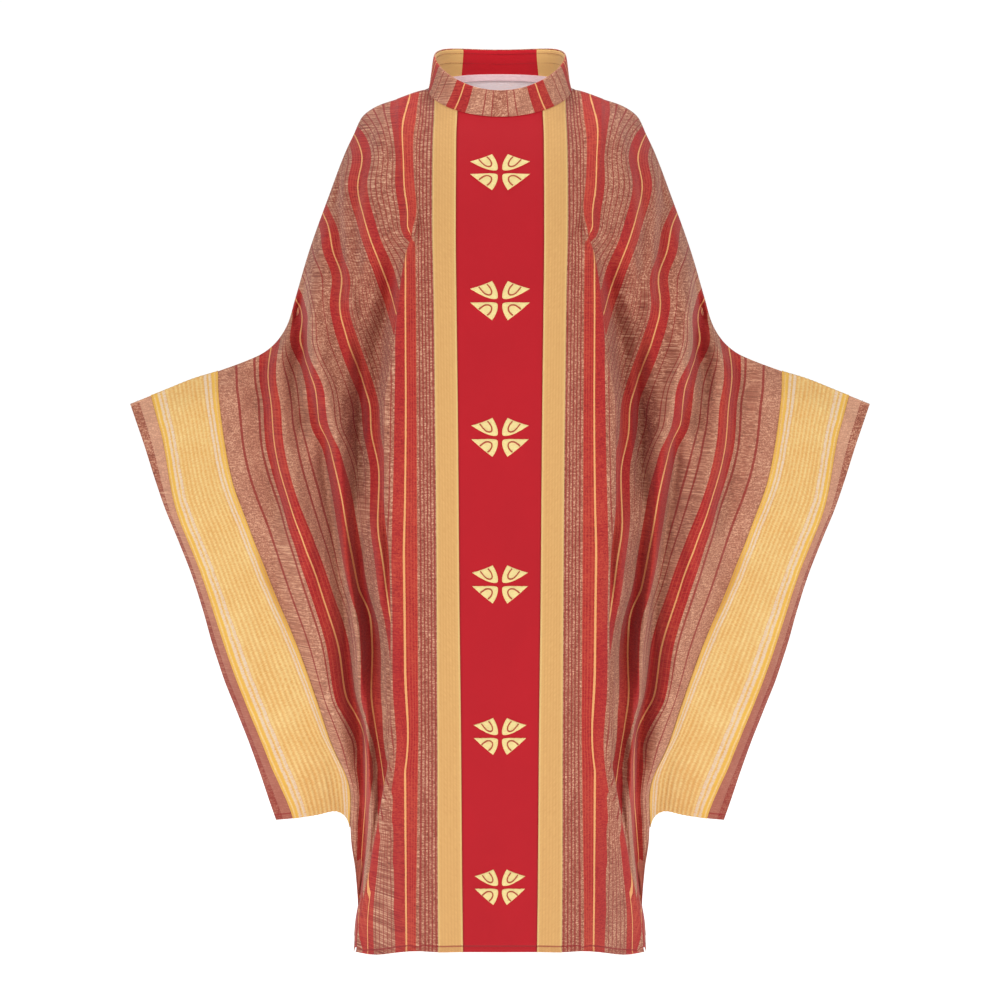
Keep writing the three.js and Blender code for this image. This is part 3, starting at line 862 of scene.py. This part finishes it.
def stitchAlong(name, lines, tree, pitch, length, thickness):
    # lines: point lists in millimetres
    points, edges = [], []
    for line in lines:
        first = len(points)
        points.extend((np.asarray(line) * mm).tolist())
        edges.extend((first + k, first + k + 1) for k in range(len(line) - 1))
    mesh = bpy.data.meshes.new(name + "_line")
    mesh.from_pydata(points, edges, [])
    guide = newObject(name + "_line", mesh)
    sewing = guide.modifiers.new("stitches", "NODES")
    sewing.node_group = tree
    sockets = {item.name: item.identifier for item in tree.interface.items_tree if item.in_out == "INPUT"}
    for label, value in (("Pitch", pitch), ("Length", length), ("Thickness", thickness)):
        sewing[sockets[label]] = value * mm
    sewing[sockets["Seed"]] = 3
    bpy.context.view_layer.update()
    shown = guide.evaluated_get(bpy.context.evaluated_depsgraph_get())
    made = bpy.data.meshes.new_from_object(shown)
    made.name = name
    piece = newObject(name, made)
    bpy.data.objects.remove(guide)
    return piece


# collar
def collarRings(turn):
    # the seam, the rim, the direction outwards and the height of the collar at each turn
    seam, rim = ringPoint(neckSeam, turn), ringPoint(collarRim, turn)
    radial = np.stack([np.sin(turn), -np.cos(turn), np.zeros(len(turn))], axis=-1)
    return seam, rim, radial, np.linalg.norm(rim - seam, axis=1)


def collarSheet(profile, around, seed, outside):
    # profile: (part of the height, out) from the rim down
    # the outer cloth is joined at the back, the facing at the front
    turn = np.linspace(-math.pi, math.pi, around) + (0 if outside else math.pi)
    seam, rim, radial, height = collarRings(turn)
    steps = np.linalg.norm(np.diff(seam, axis=0), axis=1)
    arc = np.concatenate([[0], np.cumsum(steps)])
    arc = arc - arc[-1] / 2
    keys = np.linspace(0, 1, len(profile))
    parts = np.linspace(0, 1, 30)
    levels = smoothAt(keys, [step[0] for step in profile], parts)
    outs = smoothAt(keys, [step[1] for step in profile], parts)
    rows = []
    for level, out in zip(levels, outs):
        bulge = 0.5 * math.sin(math.pi * min(max(level, 0), 1))
        uneven = bulge * ripple(arc, np.full(around, level * 40), 34, 30, seed)
        point = seam + (rim - seam) * level + radial * (out + uneven)[:, None]
        if outside:
            outward = np.abs(arc) * (1 + collarCut["lean"] * level)
            place = collarCut["centreOn"] + collarCut["foldAt"] - np.abs(collarCut["foldAt"] - outward)
        else:
            place = np.minimum(np.abs(arc) * cut["orphreyEdge"] / collarCut["redHalf"], 97)
        rows.append(np.concatenate([point, place[:, None], ((1 - level) * height)[:, None]], axis=1))
    return np.stack(rows)


def collarLine(below, out, around=400):
    # a line round the collar at a distance below its rim
    seam, rim, radial, height = collarRings(np.linspace(-math.pi, math.pi, around))
    return rim + (seam - rim) * (below / height)[:, None] + radial * out


# motifs
motif = {
    "heights": (-120, -300, -491, -700, -922, -1150),       # of the middles down the front
    "backParts": (0.09, 0.235, 0.388, 0.556, 0.734, 0.918),  # how far down the back each one is
    "rise": 1.3, "cordRadius": 0.95, "spread": (1.12, 1.07), "petalMiddle": (16.5, 11.8), "threadAngle": 24,
    # how the petal rises from its edge: part of the way out from its middle, height
    "levels": [(1.0, 0.0), (0.985, 0.5), (0.955, 0.85), (0.9, 1.05), (0.8, 1.2), (0.6, 1.28), (0.35, 1.3),
               (0.1, 1.3)],
    # outline of the upper outer petal and the line inside it, from the middle of the motif
    "petal": [(39.9, 9.0), (27.6, 5.4), (15.7, 2.7), (7.4, 2.2), (3.7, 3.4), (2.9, 6.4), (3.6, 12.0),
              (6.5, 19.4), (10.4, 25.7), (18.0, 21.4), (29.0, 15.2)],
    "corners": (0, 8),
    "inner": [(28.0, 14.6), (24.0, 10.6), (19.6, 7.4), (15.0, 6.6), (11.8, 8.2), (11.2, 11.8),
              (13.2, 16.3), (17.2, 20.4)],
}


def closedOutline(points, corners, perSide):
    # a smooth outline that keeps its sharp corners
    ring = []
    stops = list(corners) + [corners[0] + len(points)]
    for start, end in zip(stops[:-1], stops[1:]):
        side = [points[k % len(points)] for k in range(start, end + 1)]
        ring.extend(splineThrough(side, perSide)[:-1])
    return np.array(ring)


def splineThrough(points, count):
    # count points on a curve that passes through all the given ones
    points = np.asarray(points, float)
    padded = np.concatenate([[2 * points[0] - points[1]], points, [2 * points[-1] - points[-2]]])
    made = []
    for part in np.linspace(0, len(points) - 1, count):
        k = min(int(part), len(points) - 2)
        t = part - k
        a, b, c, d = padded[k:k + 4]
        square, cube = 2 * a - 5 * b + 4 * c - d, 3 * b - a - 3 * c + d
        made.append(0.5 * (2 * b + (c - a) * t + square * t * t + cube * t ** 3))
    return np.array(made)


def onCloth(grid, normals, across, down):
    # position and outward normal of the cloth at a place on the flat cloth
    column = np.interp(across, grid[0, :, 3], np.arange(grid.shape[1]))
    row = np.empty_like(column)
    near = np.clip(np.round(column).astype(int), 0, grid.shape[1] - 1)
    for k in range(len(column)):
        row[k] = np.interp(down[k], grid[:, near[k], 4], np.arange(grid.shape[0]))
    i, j = np.clip(row.astype(int), 0, grid.shape[0] - 2), np.clip(column.astype(int), 0, grid.shape[1] - 2)
    fi, fj = (row - i)[:, None], (column - j)[:, None]

    def mixed(values):
        upper = values[i, j] * (1 - fj) + values[i, j + 1] * fj
        lower = values[i + 1, j] * (1 - fj) + values[i + 1, j + 1] * fj
        return upper * (1 - fi) + lower * fi
    return mixed(grid[..., :3]), mixed(normals)


def makeMotif(name, grid, normals, down, materials):
    points, faces, places, kinds = [], [], [], []

    def place(flat, heights, mirrorX, mirrorY, kind, quads, uv):
        first = len(points)
        across = flat[:, 0] * mirrorX * motif["spread"][0]
        along = down - flat[:, 1] * mirrorY * motif["spread"][1]
        position, normal = onCloth(grid, normals, across, along)
        points.extend((position + normal * heights[:, None]).tolist())
        places.extend(uv.tolist())
        flip = mirrorX * mirrorY < 0
        for quad in quads:
            quad = [first + k for k in quad]
            faces.append(quad[::-1] if flip else quad)
            kinds.append(kind)

    outline = closedOutline(motif["petal"], motif["corners"], 34)
    count = len(outline)
    middle, levels = np.array(motif["petalMiddle"]), motif["levels"]
    flat = np.concatenate([middle + (outline - middle) * part for part, _ in levels] + [middle[None]])
    heights = np.concatenate([np.full(count, high) for _, high in levels] + [[motif["rise"]]])
    quads = []
    for ring in range(len(levels) - 1):
        for k in range(count):
            after, upper, lower = (k + 1) % count, ring * count, (ring + 1) * count
            quads.append((upper + k, upper + after, lower + after, lower + k))
    last = (len(levels) - 1) * count
    quads.extend((last + k, last + (k + 1) % count, len(flat) - 1) for k in range(count))
    angle = math.radians(motif["threadAngle"])
    turned = np.stack([flat[:, 1] * math.cos(angle) - flat[:, 0] * math.sin(angle),
                       flat[:, 0] * math.cos(angle) + flat[:, 1] * math.sin(angle)], axis=1)
    line = splineThrough(motif["inner"], 40)
    along = np.gradient(line, axis=0)
    along /= np.linalg.norm(along, axis=1, keepdims=True)
    sideways = np.stack([-along[:, 1], along[:, 0]], axis=1)
    section = [(math.cos(turn) * motif["cordRadius"], math.sin(turn) * motif["cordRadius"])
               for turn in np.linspace(0, 2 * math.pi, 8, endpoint=False)]
    cordFlat = np.concatenate([line + sideways * out for out, _ in section])
    cordHeight = np.concatenate([np.full(len(line), motif["rise"] + 0.1 + up) for _, up in section])
    cordUv = np.concatenate([np.stack([np.full(len(line), k * 0.5), np.arange(len(line)) * 1.0], axis=1)
                             for k in range(len(section))])
    cordQuads = []
    for k in range(len(section)):
        a, b = k * len(line), ((k + 1) % len(section)) * len(line)
        cordQuads.extend((a + n, a + n + 1, b + n + 1, b + n) for n in range(len(line) - 1))
    for mirrorX in (1, -1):
        for mirrorY in (1, -1):
            place(flat, heights, mirrorX, mirrorY, 0, quads, turned)
            place(cordFlat, cordHeight, mirrorX, mirrorY, 1, cordQuads, cordUv)
    mesh = bpy.data.meshes.new(name)
    mesh.from_pydata((np.array(points) * mm).tolist(), [], faces)
    loops = np.zeros(len(mesh.loops), int)
    mesh.loops.foreach_get("vertex_index", loops)
    addLayer(mesh, "cloth", np.array(places), loops)
    mesh.polygons.foreach_set("use_smooth", [True] * len(mesh.polygons))
    for material in materials:
        mesh.materials.append(material)
    mesh.polygons.foreach_set("material_index", kinds)
    mesh.update()
    return newObject(name + "_cloth", mesh)


# the garment
def keep(piece):
    # hangs the piece on the frame in place of the plain solid of the same name
    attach(piece, "root")
    solid = piece.name.removesuffix("_cloth")
    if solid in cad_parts:
        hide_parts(solid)


def joined(minusHalf, plusHalf, places):
    # the cloth of both halves at these distances from the centre line, from x minus to x plus
    minus, plus = widthsOf(minusHalf, places), widthsOf(plusHalf, places)
    minus[..., 3] *= -1
    return np.concatenate([minus[:, :0:-1], plus], axis=1)


def seamDown(half, place, lift, sign):
    # a line down the cloth at one place across it
    return raised(widthsOf(half, np.array([place - 0.5, place])), lift, sign)[:, 0, :3]


striped = stripedCloth("stripedCloth")
stripedInside = stripedCloth("stripedClothReverse", inside=True)
gold = goldCloth("goldCloth")
red = redCloth("redCloth")
band = ribbedBand("ribbedBand")
lining = plainCloth("lining", "lining", "light", 0.8, 0.3, 0.6)
tape = plainCloth("seamTape", "tape", "wine", 1.0, 0.1, 0.85)
# painted light: the pale cloths in the neck glow a little, as bright as light falling through them would make
# them
for softLit in (lining, tape):
    shader = next(node for node in softLit.node_tree.nodes if node.type == "BSDF_PRINCIPLED")
    shader.inputs["Emission Color"].default_value = linear(*yarns["lining"])
    shader.inputs["Emission Strength"].default_value = 0.16
canvas = plainCloth("interfacing", "canvas", "middle", 1.4, 0.0, 0.95)
silk = silkThread("embroidery", "silk", "goldLine")
silkLine = silkThread("embroideryLine", "silkLine", "redDeep")
stitchRed = makeStitchTree("stitchLine", sewingThread("redThread", "stripeDark", "wine"))
stitchGold = makeStitchTree("stitchLineGold", sewingThread("goldThread", "gold", "goldLine"))
print("materials are ready")

# How far each layer lies off the panel, and how much of it there is; minus is towards the wearer.
layers = {
    "border": 0.7, "orphrey": 0.75, "facings": -1.2, "yoke": -2.0, "hemStitch": 0.05, "cuffStitch": 0.1,
    "edgeStitch": 0.75, "bandStitch": 1.55, "cuffWidth": 26, "hemDepth": 24, "hemWidth": 240,
    "yokeWidth": 158, "yokeDepth": 160,
}
sewn = {"hem": [], "cuff": [], "edge": []}
hemPlace = cut["sleeveEnd"] - cut["hemTurn"]
leftSide = 1 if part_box("front_panel_left")[1].x > 0.1 else -1
for face, seed in (("front", 11), ("back", 47)):
    grid = finishPanel(face, seed)
    halves = []
    for sideName, side in (("left", leftSide), ("right", -leftSide)):
        half = grid.copy()
        half[..., 0] *= side
        halves.append(half)
        sign = facing(half, face)
        panel = clothPiece(f"{face}_panel_{sideName}", half, [striped, stripedInside], 0.9, sign, hemmed=True)
        keep(panel)
        border = widthsOf(half, np.linspace(cut["orphreyEdge"] + 0.2, cut["borderEdge"], 18))
        border = raised(border, layers["border"], sign)
        border = clothPiece(f"{face}_border_{sideName}", border, [gold], 0.5, sign, hemmed=True)
        keep(border)
        places = np.linspace(cut["bandInner"] + 0.5, cut["bandOuter"] - 0.5, 96)
        strip = widthsOf(half, places)
        across = places - cut["bandInner"]
        inRibs = easeIn(across, 23, 25) * (1 - easeIn(across, 82, 84))
        waves = np.cos(across * 2 * math.pi / bandCut["ribPitch"])
        ribs = bandCut["ribHeight"] * (0.35 + 0.65 * inRibs) * waves
        strip = raised(strip, np.repeat((bandCut["lift"] + ribs)[None], strip.shape[0], axis=0), sign)
        strip = clothPiece(f"{face}_sleeve_band_{sideName}", strip, [band], 0.7, sign)
        keep(strip)
        places = np.linspace(cut["sleeveEnd"] - layers["cuffWidth"], cut["sleeveEnd"] - 0.6, 12)
        cuff = raised(widthsOf(half, places), layers["facings"], sign)
        cuff = clothPiece(f"{face}_cuff_facing_{sideName}", cuff, [stripedInside], 0.5, sign)
        keep(cuff)
        lower = lengthsOf(half, np.linspace(layers["hemDepth"], 0.6, 12))
        hem = raised(widthsOf(lower, np.linspace(3, layers["hemWidth"], 80)), layers["facings"], sign)
        hem = clothPiece(f"{face}_hem_facing_{sideName}", hem, [stripedInside], 0.5, sign)
        keep(hem)
        seam = raised(lengthsOf(half, np.array([9.0, 8.0])), layers["hemStitch"], sign)
        sewn["hem"].append(widthsOf(seam, np.linspace(101, 236, 90))[0, :, :3])
        sewn["cuff"].append(seamDown(half, hemPlace, layers["cuffStitch"], sign))
        for place in (cut["orphreyEdge"] + 1.5, cut["borderEdge"] - 1.1):
            sewn["edge"].append(seamDown(half, place, layers["edgeStitch"], sign))
        for place in (cut["bandInner"] + 1.8, cut["bandOuter"] - 1.8):
            sewn["edge"].append(seamDown(half, place, layers["bandStitch"], sign))
    halves.sort(key=lambda half: half[0, -1, 0])
    orphreyTop = joined(*halves, np.linspace(0, cut["orphreyEdge"] - 0.2, 26))
    sign = facing(orphreyTop, face)
    orphreyTop = raised(orphreyTop, layers["orphrey"], sign)
    orphrey = clothPiece(f"{face}_orphrey", orphreyTop, [red], 0.5, sign, hemmed=True)
    keep(orphrey)
    normals = outwards(orphreyTop, sign)
    centre = orphreyTop[:, orphreyTop.shape[1] // 2]
    for number, (height, part) in enumerate(zip(motif["heights"], motif["backParts"]), 1):
        down = centre[-1, 4] * part if face == "back" else np.interp(-height, -centre[:, 2], centre[:, 4])
        patch = makeMotif(f"{face}_motif_{number}", orphreyTop, normals, down, [silk, silkLine])
        keep(patch)
    inner = joined(*halves, np.linspace(0, layers["yokeWidth"], 40))
    inner = inner[:np.searchsorted(inner[:, inner.shape[1] // 2, 4], layers["yokeDepth"])]
    sign = facing(inner, face)
    yoke = clothPiece(f"{face}_yoke_lining", raised(inner, layers["yoke"], sign), [lining], 0.4, sign)
    keep(yoke)
print("the cloth hangs")

# The sheets of the collar; each profile runs from the rim down as (part of the height, out).
collarStriped = stripedCloth("stripedCollar", lineWidth=0.9)
collarSheets = [
    {"name": "collar_outer", "slot": "striped_cloth", "sheet": "collarOuter", "rests": "neck_tape_cloth",
     "cloth": collarStriped, "around": 300, "seed": 5, "outside": True, "thickness": 0.8,
     "profile": [(0.97, -2.4), (0.99, -1.6), (0.99, -0.8), (0.97, 0.0), (0.92, 0.4), (0.8, 0.6), (0.5, 0.7),
                 (0.2, 1.0), (0.03, 1.9), (-0.02, 1.9), (-0.03, 0.8)]},
    {"name": "collar_interfacing", "slot": "interfacing", "sheet": "interfacing",
     "rests": "collar_outer_cloth", "cloth": canvas, "around": 200, "seed": 5, "outside": True, "thickness": 0.5,
     "profile": [(0.93, -1.2), (0.8, -0.9), (0.5, -0.5), (0.2, 0.0), (0.03, 0.4)]},
    {"name": "collar_facing", "slot": "red_cloth", "sheet": "collarFacing", "rests": "collar_outer_cloth",
     "cloth": collarStriped, "around": 300, "seed": 5, "outside": False, "thickness": 0.5,
     "profile": [(0.955, -2.8), (0.92, -3.3), (0.8, -3.7), (0.5, -4.0), (0.2, -3.9), (0.03, -3.8),
                 (0.0, -3.6)]},
    {"name": "neck_tape", "slot": "seam_tape", "sheet": "neckTape", "rests": "collar_outer_cloth",
     "cloth": tape, "around": 300, "seed": 7, "outside": False, "thickness": 0.5,
     "profile": [(0.05, -4.7), (-0.06, -4.5), (-0.19, -4.2)]},
]
for one in collarSheets:
    grid = collarSheet(one["profile"], one["around"], one["seed"], one["outside"])
    piece = clothPiece(one["name"], grid, [one["cloth"]], one["thickness"], 1 if one["outside"] else -1)
    keep(piece)
print("the collar stands")

# name, lines, stitch, distance apart, length, thickness, slot
collarLines = [collarLine(below, -4.0) for below in collarCut["rows"]]
stitches = [
    ("hem_stitches", sewn["hem"], stitchRed, 3.6, 2.7, 0.6, "striped_cloth"),
    ("cuff_stitches", sewn["cuff"], stitchRed, 3.6, 2.7, 0.6, "striped_cloth"),
    ("trim_stitches", sewn["edge"], stitchGold, 3.4, 2.5, 0.5, "gold_cloth"),
    ("collar_stitches", collarLines, stitchRed, 3.2, 2.4, 0.6, "red_cloth"),
]
for name, lines, tree, pitch, length, thickness, slotName in stitches:
    keep(stitchAlong(name, lines, tree, pitch, length, thickness))
print("the seams are stitched")

# floor, light and camera
floorMesh = bpy.data.meshes.new("floor")
floorMesh.from_pydata([(-30, -8, -1.5), (30, -8, -1.5), (30, 60, -1.5), (-30, 60, -1.5)], [], [(0, 1, 2, 3)])
floor = newObject("floor", floorMesh)
floorMaterial = bpy.data.materials.new("paleFloor")
floorMaterial.use_nodes = True
paint = floorMaterial.node_tree.nodes["Principled BSDF"].inputs
paint["Base Color"].default_value = (0.95, 0.95, 0.95, 1)
paint["Roughness"].default_value = 0.9
paint["Emission Color"].default_value = (1, 1, 0.995, 1)
paint["Emission Strength"].default_value = 0.8
floorMesh.materials.append(floorMaterial)

studio = {
    "sky": 0.3, "backdrop": 1.03,
    "lamps": [  # name, place, where it points, size, watts
        ("leftLamp", (-1.9, -2.8, 1.7), (0, 0, -0.6), 0.9, 42),
        ("rightLamp", (1.9, -2.8, 1.7), (0, 0, -0.6), 0.9, 38),
        ("topLamp", (0.0, 0.6, 3.0), (0, 0, -0.6), 2.0, 16),
        ("neckLamp", (0.0, -0.05, 0.36), (0, 0.09, 0.02), 0.12, 0.8),
    ],
}
world = bpy.data.worlds.new("studio")
bpy.context.scene.world = world
world.use_nodes = True
tree = world.node_tree
tree.nodes.clear()
path = addNode(tree, "ShaderNodeLightPath")
seen = {0: path.outputs["Is Camera Ray"], 2: studio["sky"], 3: studio["backdrop"]}
level = addNode(tree, "ShaderNodeMix", seen, data_type="FLOAT")
sky = addNode(tree, "ShaderNodeBackground", {"Color": (1.0, 0.995, 0.985, 1), "Strength": level.outputs[0]})
end = addNode(tree, "ShaderNodeOutputWorld")
tree.links.new(sky.outputs[0], end.inputs[0])
for name, place, aim, size, watts in studio["lamps"]:
    lamp = bpy.data.lights.new(name, "AREA")
    lamp.shape = "SQUARE"
    lamp.size = size
    lamp.energy = watts
    holder = newObject(name, lamp)
    holder.location = place
    holder.rotation_euler = (Vector(aim) - Vector(place)).to_track_quat("-Z", "Y").to_euler()

lens = bpy.data.cameras.new("camera")
lens.lens, lens.sensor_width = 72, 36
camera = newObject("camera", lens)
camera.location = (0, -3.0, -0.25)
camera.rotation_euler = (math.radians(83.3), 0, 0)
bpy.context.scene.camera = camera
bpy.context.scene.view_settings.view_transform = "Standard"
bpy.context.scene.view_settings.look = "None"
